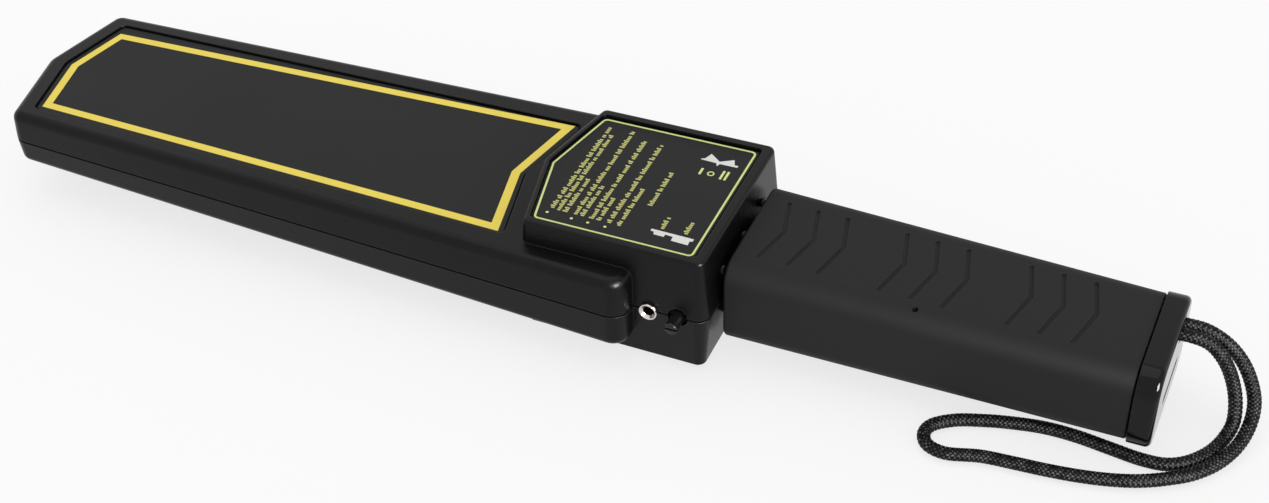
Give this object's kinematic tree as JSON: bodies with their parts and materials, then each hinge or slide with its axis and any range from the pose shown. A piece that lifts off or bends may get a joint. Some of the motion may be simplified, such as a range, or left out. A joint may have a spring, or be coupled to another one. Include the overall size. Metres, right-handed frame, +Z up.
{
  "type": "handheld security metal detector wand",
  "caption": "Flat arrow-ended search paddle with a raised control console, a sleeved grip and a glossy battery cover with a wrist cord.",
  "frame": {"origin": "middle of the wand without its cord, on the surface that the console's underside rests on", "axes": "+X along the wand from the paddle's tip towards the grip's end, +Y to the rocker switch's side, +Z up through the labels"},
  "size_m": [0.4357, 0.0846, 0.045],
  "materials": {
    "case_plastic": "satin",
    "label_film": "matte",
    "core_plastic": "matte",
    "grip_rubber": "matte",
    "cover_plastic": "gloss",
    "cord_braid": "matte",
    "control_plastic": "satin",
    "nickel": "polished",
    "zinc_steel": "satin",
    "lamp_green": "gloss",
    "lamp_red": "gloss",
    "lamp_amber": "gloss",
    "board_green": "satin",
    "chip_black": "matte",
    "capacitor_sleeve": "satin",
    "pot_blue": "satin",
    "sounder_black": "satin",
    "motor_steel": "satin",
    "former_plastic": "matte",
    "coil_copper": "satin",
    "lead_black": "satin",
    "lead_red": "satin",
    "battery_jacket": "satin",
    "foam_grey": "matte"
  },
  "bodies": {
    "case": {"upper_shell": "case_plastic", "lower_shell": "case_plastic", "scan_label": "label_film", "control_label": "label_film", "case_screw_1": "zinc_steel", "case_screw_2": "zinc_steel", "case_screw_3": "zinc_steel", "case_screw_4": "zinc_steel", "case_screw_5": "zinc_steel", "case_screw_6": "zinc_steel", "handle_core": "core_plastic", "grip_sleeve": "grip_rubber", "battery_9v": "battery_jacket", "battery_snap": "core_plastic", "battery_lead": "lead_red", "foam_pad": "foam_grey", "charge_jack": "control_plastic", "jack_ring": "nickel", "potentiometer": "pot_blue", "switch_body": "control_plastic", "led_green": "lamp_green", "led_red": "lamp_red", "led_amber": "lamp_amber", "main_board": "board_green", "amplifier_chip": "chip_black", "filter_capacitor": "capacitor_sleeve", "sounder": "sounder_black", "vibration_motor": "motor_steel", "coil_former": "former_plastic", "transmit_coil": "coil_copper", "receive_coil": "coil_copper", "coil_lead": "lead_black"},
    "battery_cover": {"end_cap": "cover_plastic", "cord_knot": "cord_braid", "wrist_cord": "cord_braid"},
    "rocker": {"switch_rocker": "control_plastic"},
    "sensitivity_shaft": {"sensitivity_knob": "control_plastic"},
    "motor_weight": {"eccentric_weight": "motor_steel"}
  },
  "joints": [
    {"name": "cover_pull", "type": "slide", "parent": "case", "child": "battery_cover", "axis": [1, 0, 0], "range_m": [0, 0.009]},
    {"name": "rocker_tilt", "type": "hinge", "parent": "case", "child": "rocker", "pos_m": [0.0585, 0.0353, 0.0228], "axis": [0, 0, 1], "range_deg": [-9, 9]},
    {"name": "sensitivity_turn", "type": "hinge", "parent": "case", "child": "sensitivity_shaft", "pos_m": [0.0635, -0.03, 0.0228], "axis": [0, 1, 0], "range_deg": [-135, 135]},
    {"name": "weight_spin", "type": "hinge", "parent": "case", "child": "motor_weight", "pos_m": [0.028, 0.016, 0.02305], "axis": [1, 0, 0], "continuous": true}
  ]
}
